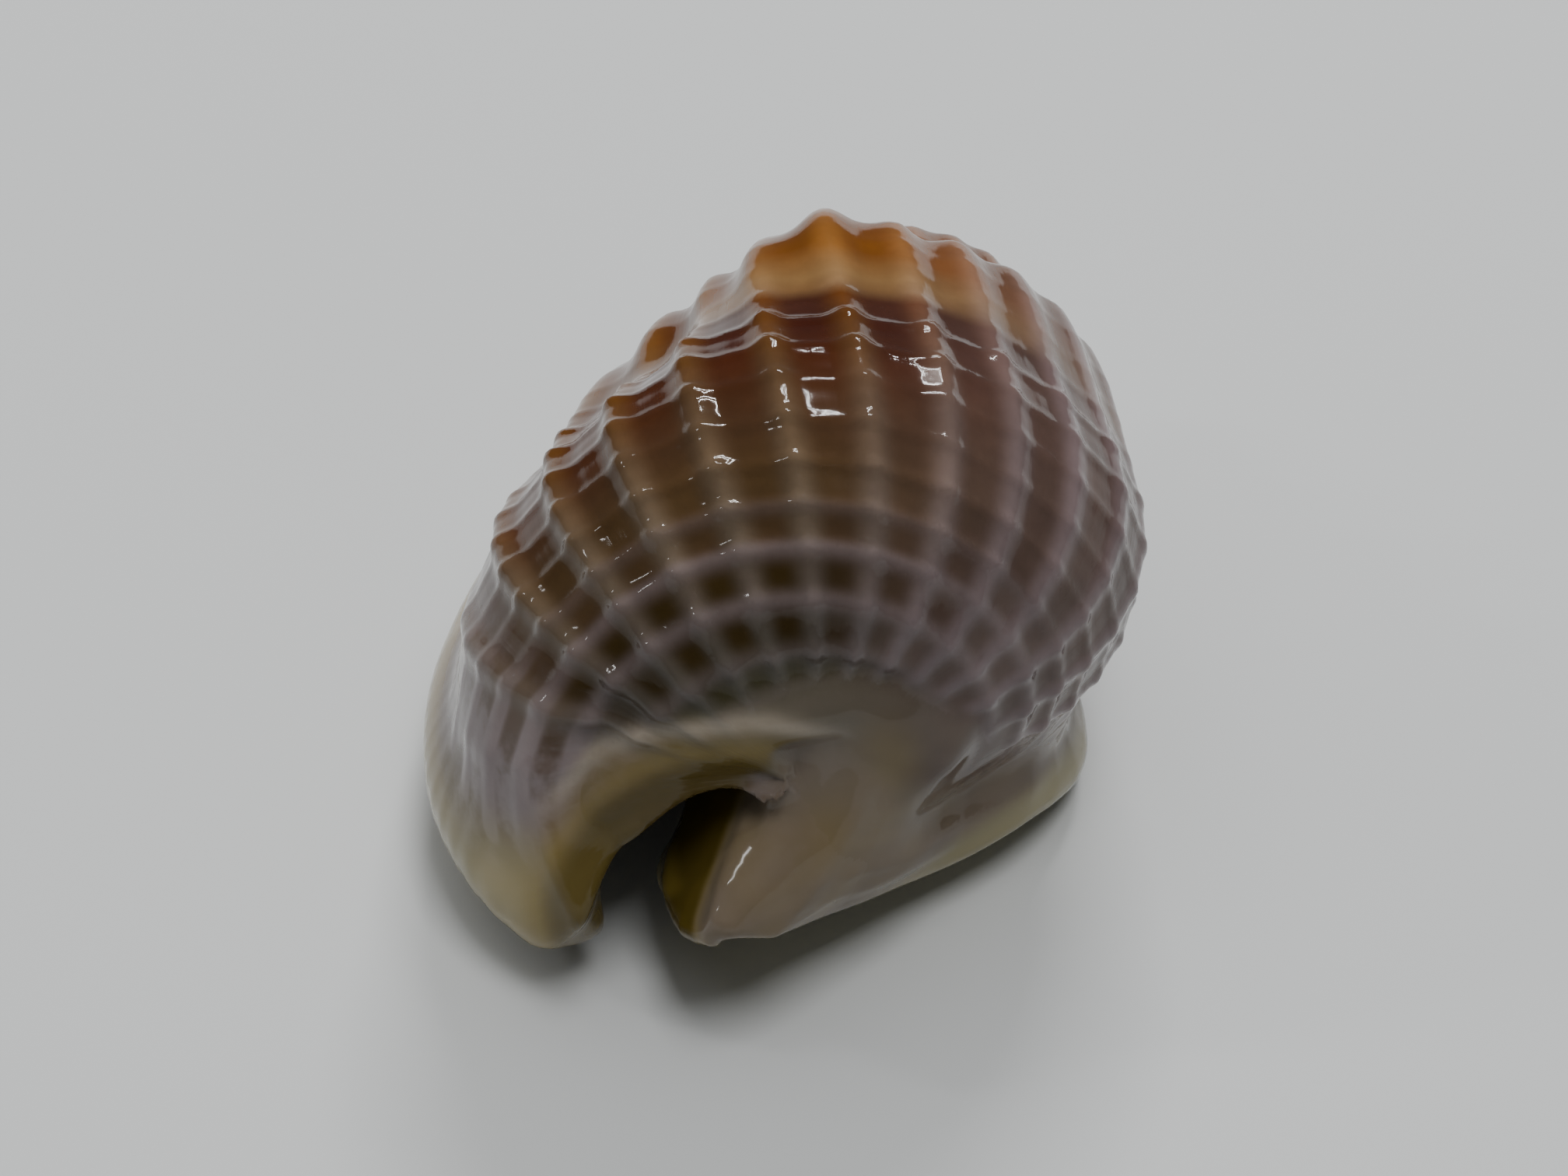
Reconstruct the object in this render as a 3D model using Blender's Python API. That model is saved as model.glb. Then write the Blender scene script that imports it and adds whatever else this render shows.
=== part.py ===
"""Shell of a nassa snail: a small, stout sea snail shell with a beaded surface.

The shell is one grown piece. It lies on its opening, with the tip of the spire
towards +Y, the siphonal end towards -Y, the outer lip at -X and +Z up.

A whorl's outline is given once, at the size it has at the lip. Every earlier
part of the shell is the same outline, turned back about the axis and made
smaller towards the pole of the spiral. Lengths are in millimetres until the
finished mesh is scaled to metres.
"""
import math

import bmesh
import bpy
import numpy as np

MM = 0.001
TURN = 2.0 * math.pi

# Middle of the finished shell's bounding box, which becomes the origin
CENTRE = (0.505, -1.963)

# Spiral growth: the last turn, and the faster growing spire before it
GROWTH_LAST_TURN = 1.444
GROWTH_SPIRE = 1.6
SPIRE_SINK = 1.6
LIP_ANGLE = math.radians(222.0)
SPIRE_TURNS = 4.6
POLE = np.array([1.3, 6.0, 3.0])
AXIS_TILT = math.radians(-5.2)

# Outline of the whorl at the lip: distance from the axis, distance below the pole
OUTLINE = [(3.5, 6.55), (3.9, 7.7), (4.25, 9.2), (4.5, 10.6), (4.42, 11.85), (4.02, 12.9),
           (3.35, 13.75), (2.6, 14.4), (1.9, 14.6), (1.2, 14.6), (0.6, 14.5)]
SEAT = 2

# Beaded surface: ribs along the axis, crossed by cords round it
RIBS_PER_TURN = 23
COLUMNS_PER_RIB = 3
ROWS_TO_SEAT = 6
ROWS_PAST_SEAT = 18
LEAN_COLUMNS = 2
RIB_HEIGHT = 0.20
CORD_HEIGHT = 0.10
SMOOTH_ROWS_AT_TIP = 4

# Flare of the lip: its swelling row by row, and the angles where it starts and is full
LIP_SWELLING = [(0, 0.0), (2, 0.5), (6, 0.6), (12, 0.75), (18, 0.5), (22, 0.1)]
FLARE_START = math.radians(145.0)
FLARE_FULL = math.radians(206.0)

# Where the last whorl swells (+) or sinks (-): angle and its spread, depth and its spread, and height
UNEVEN = [(math.radians(138.0), math.radians(14.0), 8.3, 1.6, -0.3),
          (math.radians(106.0), math.radians(13.0), 6.9, 1.2, 0.3),
          (math.radians(15.0), math.radians(26.0), 10.3, 2.5, 0.26)]

# How far the front draws back towards the lip, the angles behind the lip where it starts and ends,
# and the distances from the axis between which it eases in
DRAWN_BACK = 0.9
DRAWN_FULL = math.radians(25.0)
DRAWN_START = math.radians(95.0)
DRAWN_WITHIN = (3.4, 2.5)

# Rolled edge of the lip: x, y, z and radius
LIP_ROLL = [(-1.4, 0.6, 2.3, 0.5), (-2.4, -0.2, 1.75, 0.8), (-3.0, -1.3, 1.4, 0.98),
            (-3.25, -2.6, 1.35, 1.02), (-3.25, -4.0, 1.4, 1.02), (-2.97, -5.35, 1.5, 0.94),
            (-2.5, -6.3, 1.55, 0.83), (-2.0, -6.83, 1.5, 0.72), (-1.62, -6.98, 1.35, 0.58)]

# Opening: section of the hollow at the lip, same measures as the outline
HOLLOW = [(2.9, 7.5), (3.4, 8.2), (3.62, 9.5), (3.68, 10.8), (3.5, 12.0), (3.05, 12.85),
          (2.2, 13.35), (1.5, 13.2), (1.3, 12.4), (1.3, 11.3), (1.8, 10.0), (2.4, 8.6)]
HOLLOW_TURNS = 0.8
HOLLOW_RINGS = 22
HOLLOW_FRONT = math.radians(16.0)
MOUTH_FLARE = 0.95
FLARE_FROM = 1.6
FLARE_TO = 4.6

# Arch of the siphonal notch, x and z, and how far it reaches back
NOTCH = [(-0.98, -3.0), (-1.0, 1.3), (-1.07, 2.4), (-0.54, 3.2), (-0.04, 3.72), (0.47, 3.94),
         (0.95, 3.9), (1.2, 3.45), (1.25, 2.6), (1.25, -3.0)]
NOTCH_FRONT = -11.0
NOTCH_BACK = -5.8

# Columella, from inside the shell to its foot: x, y, z and radius
COLUMELLA = [(2.0, -2.6, 3.5, 1.3), (1.9, -3.8, 3.4, 1.7), (1.75, -5.0, 3.3, 1.45), (1.5, -6.1, 3.2, 0.95),
             (1.2, -7.0, 3.0, 0.6), (0.85, -7.75, 2.75, 0.36)]

# Front of the shell, from the crest above the notch down to the margin: columns from left to right,
# each from the top to the bottom: x, y, z and half the thickness
FRONT = [[(1.45, -6.4, 4.1, 0.5), (1.3, -6.95, 3.45, 0.4), (1.02, -7.6, 2.95, 0.3), (0.72, -8.2, 2.6, 0.2)],
         [(1.8, -6.1, 4.0, 0.6), (1.7, -6.65, 3.45, 0.5), (1.45, -7.3, 2.85, 0.38), (1.05, -7.95, 2.4, 0.24)],
         [(2.15, -5.5, 3.4, 0.5), (2.05, -6.2, 2.9, 0.45), (1.85, -6.75, 2.4, 0.36), (1.56, -7.1, 1.98, 0.25)],
         [(2.6, -4.45, 2.5, 0.5), (2.65, -4.85, 2.05, 0.42), (2.68, -5.15, 1.65, 0.35), (2.62, -5.35, 1.35, 0.27)],
         [(3.25, -3.75, 2.0, 0.48), (3.45, -3.9, 1.7, 0.42), (3.62, -4.0, 1.4, 0.35), (3.75, -4.0, 1.15, 0.27)],
         [(3.7, -2.85, 1.6, 0.48), (3.88, -2.95, 1.3, 0.42), (4.02, -2.95, 1.0, 0.35), (4.15, -2.9, 0.75, 0.27)],
         [(3.7, -1.8, 1.2, 0.48), (3.9, -1.85, 0.95, 0.42), (4.03, -1.85, 0.65, 0.35), (4.15, -1.8, 0.45, 0.27)]]

# Side of the columella that faces the notch: columns from inside to the tip, each from the fold to the edge
CANAL_SIDE = [[(1.25, -5.5, 3.5, 0.4), (0.5, -5.5, 2.9, 0.38), (-0.02, -5.7, 2.15, 0.32)],
              [(1.05, -6.4, 3.4, 0.35), (0.45, -6.3, 2.75, 0.32), (-0.1, -6.35, 1.8, 0.28)],
              [(0.87, -7.15, 3.15, 0.28), (0.42, -7.05, 2.5, 0.26), (-0.08, -7.05, 1.6, 0.24)],
              [(0.7, -7.75, 2.85, 0.22), (0.42, -7.7, 2.4, 0.21), (0.14, -7.72, 1.9, 0.2)],
              [(0.6, -8.2, 2.65, 0.17), (0.54, -8.22, 2.5, 0.17), (0.48, -8.2, 2.33, 0.16)]]

# Margin of the callus shield, x, y and height, and the heights of its underside inside that
SHIELD_MARGIN = [(4.5, -2.4, 0.25), (4.1, -4.14, 0.92), (2.78, -5.66, 1.07), (1.9, -6.6, 1.5),
                 (1.2, -7.2, 1.7), (0.35, -7.4, 1.6), (-0.3, -6.9, 1.2), (-0.62, -6.3, 0.95),
                 (-0.36, -5.65, 0.9), (-0.05, -5.2, 0.9), (0.3, -4.6, 0.95), (0.3, -3.6, 1.25),
                 (-0.1, -2.4, 1.3), (-0.8, -1.1, 1.2), (-0.6, -0.1, 0.9), (0.7, 0.35, 0.5),
                 (2.1, 0.1, 0.25), (3.5, -0.83, 0.15)]
SHIELD_UNDERSIDE = [(1.9, -2.9, 0.0), (2.4, -1.6, 0.0), (3.1, -2.9, 0.02), (1.6, -4.3, 0.25),
                    (2.6, -4.3, 0.3), (1.4, -1.0, 0.15), (0.9, -5.6, 0.8), (1.0, -3.4, 0.4)]
SHIELD_POINTS = 42
SHIELD_RINGS = [(0.3, 2.4), (0.62, 1.7), (0.88, 0.95), (1.0, 0.45), (1.0, 0.12), (0.95, 0.0),
                (0.82, 0.0), (0.62, 0.0), (0.35, 0.0)]

# Mean colour of the surface, linear
SHELL_COLOUR = (0.22, 0.18, 0.15, 1.0)


def smooth_curve(points, samples, closed=False):
    """Points evenly spaced on a smooth curve through the given points."""
    given = np.array(points, dtype=float)
    if closed:
        knots = np.vstack([given[-1], given, given[0], given[1]])
    else:
        knots = np.vstack([2 * given[0] - given[1], given, 2 * given[-1] - given[-2]])
    dense = []
    for p0, p1, p2, p3 in zip(knots, knots[1:], knots[2:], knots[3:]):
        for t in np.linspace(0.0, 1.0, 24, endpoint=False):
            dense.append(0.5 * (2 * p1 + (p2 - p0) * t + (2 * p0 - 5 * p1 + 4 * p2 - p3) * t ** 2
                                + (3 * p1 - p0 - 3 * p2 + p3) * t ** 3))
    dense.append(given[0] if closed else given[-1])
    dense = np.array(dense)
    length = np.concatenate([[0.0], np.cumsum(np.linalg.norm(np.diff(dense, axis=0), axis=1))])
    wanted = np.linspace(0.0, length[-1], samples, endpoint=not closed)
    return np.stack([np.interp(wanted, length, dense[:, k]) for k in range(dense.shape[1])], axis=1)


def ease(value, start, stop):
    """0 before start, 1 after stop, and a smooth step between them."""
    t = np.clip((value - start) / (stop - start), 0.0, 1.0)
    return t * t * (3.0 - 2.0 * t)


def growth(angle):
    """Size of the whorl at an angle, with the lip as 1."""
    turns_back = (LIP_ANGLE - angle) / TURN
    return GROWTH_LAST_TURN ** -min(turns_back, 1.0) * GROWTH_SPIRE ** -max(turns_back - 1.0, 0.0)


def place(rho, depth, angle):
    """A point of the spiral, from its outline measures at the lip and its growth angle."""
    size = growth(angle)
    depth = size * depth + SPIRE_SINK * max(0.0, 1.0 / GROWTH_LAST_TURN - size)
    across = np.array([1.0, 0.0, 0.0])
    axis = np.array([0.0, math.cos(AXIS_TILT), math.sin(AXIS_TILT)])
    up = np.cross(across, axis)
    return POLE + size * rho * (math.cos(angle) * across + math.sin(angle) * up) - depth * axis


def whorl_rows():
    """Outline points row by row: from the suture to the seat of the next whorl, then to the tip."""
    outline = [tuple(np.array(OUTLINE[SEAT]) / GROWTH_LAST_TURN)] + OUTLINE
    dense = smooth_curve(outline, 400)
    seat_at = int(np.argmin(np.linalg.norm(dense - np.array(OUTLINE[SEAT]), axis=1)))
    upper = smooth_curve(dense[:seat_at + 1:8], ROWS_TO_SEAT + 1)
    lower = smooth_curve(dense[seat_at::8], ROWS_PAST_SEAT + 1)
    upper[0] = np.array(OUTLINE[SEAT]) / GROWTH_LAST_TURN
    upper[-1] = lower[0] = np.array(OUTLINE[SEAT])
    return np.vstack([upper, lower[1:]])


def column_angle(column, row, last_column):
    """Growth angle of a grid point. Columns lean back with the ribs, but not at the lip."""
    step = TURN / (RIBS_PER_TURN * COLUMNS_PER_RIB)
    lean = LEAN_COLUMNS * row / ROWS_TO_SEAT
    lean *= 1.0 - ease(column - last_column, -10.0, 0.0)
    return LIP_ANGLE + (column - last_column - lean) * step


def relief(column, row, angle, rows, depth):
    """Height of ribs, cords and lip above the plain whorl, at lip size."""
    from_lip = LIP_ANGLE - angle
    rib = 1.0 if column % COLUMNS_PER_RIB == 0 else 0.0
    cord = row % 2
    tip_fade = 1.0 - ease(row, rows - 1 - 2 * SMOOTH_ROWS_AT_TIP, rows - 1 - SMOOTH_ROWS_AT_TIP)
    lip_fade = ease(from_lip, math.radians(25.0), math.radians(50.0))
    beads = (RIB_HEIGHT * rib * lip_fade + CORD_HEIGHT * cord) * tip_fade
    swelling = np.interp(row, *zip(*LIP_SWELLING))
    swelling *= ease(angle, FLARE_START, FLARE_FULL)
    for at, spread, below, reach, height in UNEVEN:
        swelling += height * math.exp(-((angle - at) / spread) ** 2 - ((depth - below) / reach) ** 2)
    return (beads if row > 0 else 0.0) + swelling


def body():
    """The coiled shell as one closed mesh, still without its hollow."""
    outline = whorl_rows()
    rows = len(outline)
    slope = np.gradient(outline, axis=0)
    outward = np.stack([slope[:, 1], -slope[:, 0]], axis=1)
    outward /= np.linalg.norm(outward, axis=1)[:, None]
    per_turn = RIBS_PER_TURN * COLUMNS_PER_RIB
    back = per_turn - LEAN_COLUMNS
    last = int(round(per_turn * (SPIRE_TURNS + 1.0)))
    first_full = last - back

    mesh = bmesh.new()
    grid = {}
    for column in range(last + 1):
        for row in range(rows if column >= first_full else ROWS_TO_SEAT + 1):
            if row == 0 and column >= back:
                grid[column, 0] = grid[column - back, ROWS_TO_SEAT]
                continue
            angle = column_angle(column, row, last)
            rho, depth = outline[row] + outward[row] * relief(column, row, angle, rows, outline[row][1])
            near_lip = 1.0 - ease(LIP_ANGLE - angle, DRAWN_FULL, DRAWN_START)
            depth -= DRAWN_BACK * near_lip * ease(rho, *DRAWN_WITHIN) if row > ROWS_TO_SEAT else 0.0
            point = place(rho, depth, angle)
            if column >= back and row < ROWS_TO_SEAT:
                slip = np.array(grid[column, 0].co) - place(*outline[0], column_angle(column, 0, last))
                point += slip * (1.0 - row / ROWS_TO_SEAT) ** 2
            grid[column, row] = mesh.verts.new(point)

    for column in range(last):
        for row in range(rows - 1 if column >= first_full else ROWS_TO_SEAT):
            mesh.faces.new([grid[column, row], grid[column + 1, row],
                            grid[column + 1, row + 1], grid[column, row + 1]])

    apex = mesh.verts.new(place(0.0, outline[0][1] * 0.8, column_angle(0, 0, last)))
    rim = [grid[column, 0] for column in range(back, -1, -1)] + [grid[0, row] for row in range(1, ROWS_TO_SEAT)]
    for a, b in zip(rim, rim[1:] + rim[:1]):
        mesh.faces.new([a, b, apex])

    end = [grid[column, rows - 1] for column in range(first_full, last + 1)]
    tip = mesh.verts.new(sum((v.co for v in end[1:]), end[0].co.copy()) / len(end))
    for a, b in zip(end, end[1:] + end[:1]):
        mesh.faces.new([a, b, tip])

    outer = [grid[last, row] for row in range(rows)]
    inner = [grid[first_full, row] for row in range(ROWS_TO_SEAT, rows)]
    bmesh.ops.triangle_fill(mesh, use_beauty=True, edges=face_edges(mesh, outer, inner))
    bmesh.ops.recalc_face_normals(mesh, faces=mesh.faces)
    return finished(mesh, "shell")


def face_edges(mesh, outer, inner):
    """The closed ring of edges round the mouth face, from the lip and back along the inner whorl."""
    ring = outer + inner[:0:-1]
    edges = []
    for a, b in zip(ring, ring[1:] + ring[:1]):
        edge = mesh.edges.get([a, b])
        if edge is None:
            edge = mesh.edges.new([a, b])
        edges.append(edge)
    return edges


def loft(name, rings):
    """A closed solid through rings of points, with a fan of faces at each end."""
    mesh = bmesh.new()
    loops = [[mesh.verts.new(p) for p in ring] for ring in rings]
    for lower, upper in zip(loops, loops[1:]):
        for k in range(len(lower)):
            n = (k + 1) % len(lower)
            mesh.faces.new([lower[k], lower[n], upper[n], upper[k]])
    for loop in (loops[0], loops[-1]):
        centre = mesh.verts.new(sum((v.co for v in loop[1:]), loop[0].co.copy()) / len(loop))
        for k, vert in enumerate(loop):
            mesh.faces.new([vert, loop[(k + 1) % len(loop)], centre])
    bmesh.ops.recalc_face_normals(mesh, faces=mesh.faces)
    return finished(mesh, name)


def round_run(name, stations, rings, sides):
    """A solid of round section along a smooth curve, from stations of x, y, z and radius."""
    run = smooth_curve(stations, rings)
    tangent = np.gradient(run[:, :3], axis=0)
    tangent /= np.linalg.norm(tangent, axis=1)[:, None]
    across = np.cross(tangent[0], (0.0, 0.0, 1.0))
    loops = []
    for (x, y, z, radius), forward in zip(run, tangent):
        across = across - forward * (across @ forward)
        across /= np.linalg.norm(across)
        upward = np.cross(forward, across)
        loops.append([np.array((x, y, z)) + radius * (math.cos(a) * across + math.sin(a) * upward)
                      for a in np.linspace(0.0, TURN, sides, endpoint=False)])
    return loft(name, loops)


def thick_sheet(name, columns, samples):
    """A sheet with rounded edges, from columns of x, y, z and half the thickness."""
    fine = np.array([smooth_curve(column, samples[1]) for column in columns])
    fine = np.stack([smooth_curve(fine[:, k], samples[0]) for k in range(samples[1])], axis=1)
    place_at, half = fine[..., :3], fine[..., 3:]
    along, down = np.gradient(place_at, axis=0), np.gradient(place_at, axis=1)
    normal = np.cross(along, down)
    normal /= np.linalg.norm(normal, axis=2)[..., None]
    down /= np.linalg.norm(down, axis=2)[..., None]
    loops = []
    for p, n, d, h in zip(place_at, normal, down, half):
        loops.append(np.vstack([p + n * h, p[-1:] + d[-1:] * h[-1:], (p - n * h)[::-1], p[:1] - d[:1] * h[:1]]))
    ends = []
    for k, away in ((0, -1.0), (-1, 1.0)):
        step = away * along[k].mean(axis=0)
        step *= 0.9 * half[k].mean() / np.linalg.norm(step)
        ends.append(loops[k] + (loops[k].mean(axis=0) - loops[k]) * 0.45 + step)
    return loft(name, [ends[0]] + loops + [ends[1]])


def smooth_surface(known, spread):
    """Height as a smooth function of x and y, through known points."""
    known = np.array(known, dtype=float)

    def basis(xy):
        gap = np.linalg.norm(xy[:, None, :] - known[None, :, :2], axis=2)
        return np.sqrt(gap ** 2 + spread ** 2)

    matrix = np.hstack([basis(known[:, :2]), np.ones((len(known), 1)), known[:, :2]])
    matrix = np.vstack([matrix, np.hstack([np.vstack([np.ones(len(known)), known[:, :2].T]), np.zeros((3, 3))])])
    weights = np.linalg.solve(matrix, np.concatenate([known[:, 2], np.zeros(3)]))

    def height(xy):
        return basis(xy) @ weights[:-3] + weights[-3] + xy @ weights[-2:]

    return height


def shield():
    """The smooth callus pad that spreads from the columella over the underside."""
    margin = smooth_curve(SHIELD_MARGIN, SHIELD_POINTS, closed=True)
    centre = margin.mean(axis=0)
    underside = smooth_surface(SHIELD_MARGIN + SHIELD_UNDERSIDE, 0.6)
    rings = []
    for reach, rise in SHIELD_RINGS:
        ring = centre + (margin - centre) * reach
        ring[:, 2] = underside(ring[:, :2]) + rise
        rings.append(ring)
    return loft("shield_form", rings)


def hollow():
    """The space inside the last whorl, from in front of the mouth back into the shell."""
    section = smooth_curve(HOLLOW, 20, closed=True)
    middle = section.mean(axis=0)
    rings = []
    for k in range(HOLLOW_RINGS + 1):
        share = k / HOLLOW_RINGS
        angle = LIP_ANGLE + HOLLOW_FRONT - share * TURN * HOLLOW_TURNS
        shrink = 1.0 - 0.75 * ease(share, 0.8, 1.0)
        flare = MOUTH_FLARE * (1.0 - ease(share, 0.0, 0.25))
        ring = middle + (section - middle) * shrink
        ring[:, 0] += flare * ease(section[:, 0], FLARE_FROM, FLARE_TO)
        rings.append([place(rho, depth, angle) for rho, depth in ring])
    return loft("hollow_cutter", rings)


def notch():
    """The arch of the siphonal notch, cut through the front end from below."""
    arch = np.vstack([NOTCH[:1], smooth_curve(NOTCH[1:-1], 18), NOTCH[-1:]])
    return loft("notch_cutter", [[(x, y, z) for x, z in arch] for y in (NOTCH_FRONT, NOTCH_BACK)])


def ground():
    """A block under the shell, which leaves small flats where it rests."""
    mesh = bmesh.new()
    bmesh.ops.create_cube(mesh, size=30.0)
    bmesh.ops.translate(mesh, verts=mesh.verts, vec=(0.0, 0.0, -15.0))
    return finished(mesh, "ground_cutter")


def finished(mesh, name):
    """An object in metres, centred on the origin, from a mesh drawn in millimetres."""
    bmesh.ops.translate(mesh, verts=mesh.verts, vec=(-CENTRE[0], -CENTRE[1], 0.0))
    bmesh.ops.scale(mesh, verts=mesh.verts, vec=(MM, MM, MM))
    data = bpy.data.meshes.new(name)
    mesh.to_mesh(data)
    mesh.free()
    return bpy.data.objects.new(name, data)


def shell_material():
    """Glossy aragonite, with the mean colour of the beaded surface."""
    material = bpy.data.materials.new("shell_aragonite")
    material.use_nodes = True
    shader = material.node_tree.nodes["Principled BSDF"]
    shader.inputs["Base Color"].default_value = SHELL_COLOUR
    shader.inputs["Roughness"].default_value = 0.3
    shader.inputs["Metallic"].default_value = 0.0
    return material


def combine(target, tool, operation):
    """Add one Boolean step to the shell."""
    step = target.modifiers.new(tool.name, "BOOLEAN")
    step.operation = operation
    step.object = tool
    step.solver = "EXACT"
    tool.hide_render = True
    tool.display_type = "WIRE"


def main():
    for old in list(bpy.data.objects):
        bpy.data.objects.remove(old, do_unlink=True)
    parts = bpy.data.collections.new("nassa_shell")
    cutters = bpy.data.collections.new("forms_and_cutters")
    for collection in (parts, cutters):
        bpy.context.scene.collection.children.link(collection)
    shell = body()
    parts.objects.link(shell)
    shell.data.materials.append(shell_material())
    for tool, operation in ((round_run("lip_form", LIP_ROLL, 14, 12), "UNION"),
                            (hollow(), "DIFFERENCE"), (notch(), "DIFFERENCE"), (shield(), "UNION"),
                            (round_run("columella_form", COLUMELLA, 7, 16), "UNION"),
                            (thick_sheet("front_form", FRONT, (11, 6)), "UNION"),
                            (thick_sheet("canal_form", CANAL_SIDE, (7, 5)), "UNION"),
                            (ground(), "DIFFERENCE")):
        cutters.objects.link(tool)
        combine(shell, tool, operation)


main()
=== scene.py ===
"""A nassa snail shell, lying on its opening on a pale studio floor.

The shell is drawn by its own rule of growth. One outline, measured at the lip,
turns about the axis and shrinks towards the tip of the spire. The smooth form
is found as the surface of a distance field, and a Geometry Nodes tree then
raises the ribs, cords and beads on it. Lengths are in millimetres, in the frame
that the shell was drawn in, until the mesh is made.
"""
import math

import bpy
import numpy as np
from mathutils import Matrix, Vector


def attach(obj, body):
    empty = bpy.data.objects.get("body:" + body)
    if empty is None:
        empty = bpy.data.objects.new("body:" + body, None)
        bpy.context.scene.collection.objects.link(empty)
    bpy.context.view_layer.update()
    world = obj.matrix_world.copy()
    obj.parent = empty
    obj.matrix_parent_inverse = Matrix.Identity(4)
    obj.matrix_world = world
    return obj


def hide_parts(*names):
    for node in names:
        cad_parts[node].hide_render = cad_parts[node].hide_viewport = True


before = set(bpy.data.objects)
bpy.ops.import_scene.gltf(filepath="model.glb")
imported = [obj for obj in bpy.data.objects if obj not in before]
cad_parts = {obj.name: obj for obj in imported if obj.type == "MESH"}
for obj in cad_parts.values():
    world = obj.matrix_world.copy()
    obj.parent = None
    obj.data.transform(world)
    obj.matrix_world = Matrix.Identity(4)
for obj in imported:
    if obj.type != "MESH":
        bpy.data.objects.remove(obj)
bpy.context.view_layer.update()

MM = 0.001
TURN = 2.0 * math.pi
FIELD_STEP = 0.082

# Spiral growth: size per turn, where the lip ends, the pole of the spiral and its axis
GROWTH_LAST_TURN = 1.444
GROWTH_SPIRE = 1.6
SPIRE_SINK = 1.6
LIP_ANGLE = math.radians(222.0)
WHORLS = 6
POLE = np.array([1.3, 6.0, 3.0])
AXIS_TILT = math.radians(-5.2)
ACROSS = np.array([1.0, 0.0, 0.0])
AXIS = np.array([0.0, math.cos(AXIS_TILT), math.sin(AXIS_TILT)])
UP = np.cross(ACROSS, AXIS)

# The middle of the shell's box in that frame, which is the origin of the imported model
CENTRE = np.array([0.505, -1.963, 0.0])

# Outline of the whorl at the lip: distance from the axis, distance below the pole
OUTLINE = [(3.01, 6.44), (3.5, 6.3), (3.9, 7.25), (4.22, 9.0), (4.5, 10.6), (4.42, 11.85),
           (4.02, 12.9), (3.35, 13.75), (2.6, 14.4), (1.9, 14.6), (1.2, 14.6), (0.6, 14.5), (0.0, 14.4)]

# Ribs and cords: ribs in one turn, how far they lean, and where each cord runs along the outline
RIBS_PER_TURN = 23.0
RIB_LEAN = 0.84
FIRST_RIB = -0.05
CORDS = [0.06, 0.13, 0.2, 0.268, 0.34, 0.41, 0.477, 0.542, 0.6, 0.652, 0.704, 0.765,
         0.828, 0.88, 0.925]

# The flare of the lip: distance below the pole and swelling, and where it starts and is full
LIP_SWELLING = [(6.0, 0.2), (7.5, 0.6), (9.5, 0.8), (12.0, 0.6), (13.2, 0.5), (14.2, 0.2), (14.6, 0.0)]
FLARE_START = math.radians(145.0)
FLARE_FULL = math.radians(206.0)

# Where the last whorl swells (+) or sinks (-): angle and its spread, depth and its spread, height
UNEVEN = [(math.radians(138.0), math.radians(14.0), 8.3, 1.6, -0.3),
          (math.radians(106.0), math.radians(13.0), 6.9, 1.2, 0.3),
          (math.radians(15.0), math.radians(26.0), 10.3, 2.5, 0.26)]

# How far the front draws back towards the lip, the angles behind the lip where that is full and
# where it starts, and the distances from the axis between which it eases in
DRAWN_BACK = 0.9
DRAWN_FULL = math.radians(25.0)
DRAWN_START = math.radians(95.0)
DRAWN_WITHIN = (3.4, 2.5)

# The rolled edge of the lip: x, y, z and radius
LIP_ROLL = [(-1.4, 0.6, 2.3, 0.5), (-2.4, -0.2, 1.75, 0.8), (-3.0, -1.3, 1.4, 0.98),
            (-3.25, -2.6, 1.35, 1.02), (-3.25, -4.0, 1.4, 1.02), (-2.97, -5.35, 1.5, 0.94),
            (-2.5, -6.3, 1.55, 0.83), (-2.0, -6.83, 1.5, 0.72), (-1.62, -6.98, 1.35, 0.58)]

# Teeth inside the lip and lobes on the columella's edge: where each starts and ends, x, y, z and radius
TEETH = [[(-2.5, y, 0.55, 0.3), (-2.3, y, 1.3, 0.2)]
         for y in (-1.75, -2.5, -3.25, -4.0, -4.75, -5.5)]
LOBES = [[(0.2, -4.7, 0.95, 0.24), (0.45, -4.6, 1.3, 0.2)],
         [(-0.1, -5.2, 0.95, 0.24), (0.15, -5.1, 1.4, 0.2)],
         [(-0.36, -5.7, 1.0, 0.24), (-0.1, -5.6, 1.5, 0.2)],
         [(-0.3, -6.1, 1.15, 0.22), (-0.05, -6.1, 1.6, 0.2)]]

# Section of the hollow at the lip, in the outline's measures
HOLLOW = [(2.9, 7.5), (3.4, 8.2), (3.62, 9.5), (3.68, 10.8), (3.5, 12.0), (3.05, 12.85),
          (2.2, 13.35), (1.5, 13.2), (1.3, 12.4), (1.3, 11.3), (1.8, 10.0), (2.4, 8.6)]
HOLLOW_TURNS = 0.8
HOLLOW_ROUNDING = 0.9
MOUTH_FLARE = 0.95
MOUTH_FLARE_TURNS = 0.2
MOUTH_FLARE_FROM = (1.6, 4.6)

# Arch of the siphonal notch, x and z, how far back it cuts, and the raised crest round it
NOTCH = [(-0.98, -3.0), (-1.0, 1.3), (-1.07, 2.4), (-0.54, 3.2), (-0.04, 3.72), (0.47, 3.94),
         (0.95, 3.9), (1.2, 3.45), (1.25, 2.6), (1.25, -3.0)]
NOTCH_BACK = -5.8
NOTCH_CREST = [(-2.1, -6.9, 1.9, 0.4), (-1.9, -7.0, 2.6, 0.42), (-1.45, -7.05, 3.2, 0.42),
               (-0.75, -7.0, 3.98, 0.42), (0.09, -6.85, 4.58, 0.42), (1.25, -6.62, 5.0, 0.42),
               (2.1, -6.1, 4.75, 0.4), (2.9, -5.65, 3.95, 0.36)]

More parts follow.
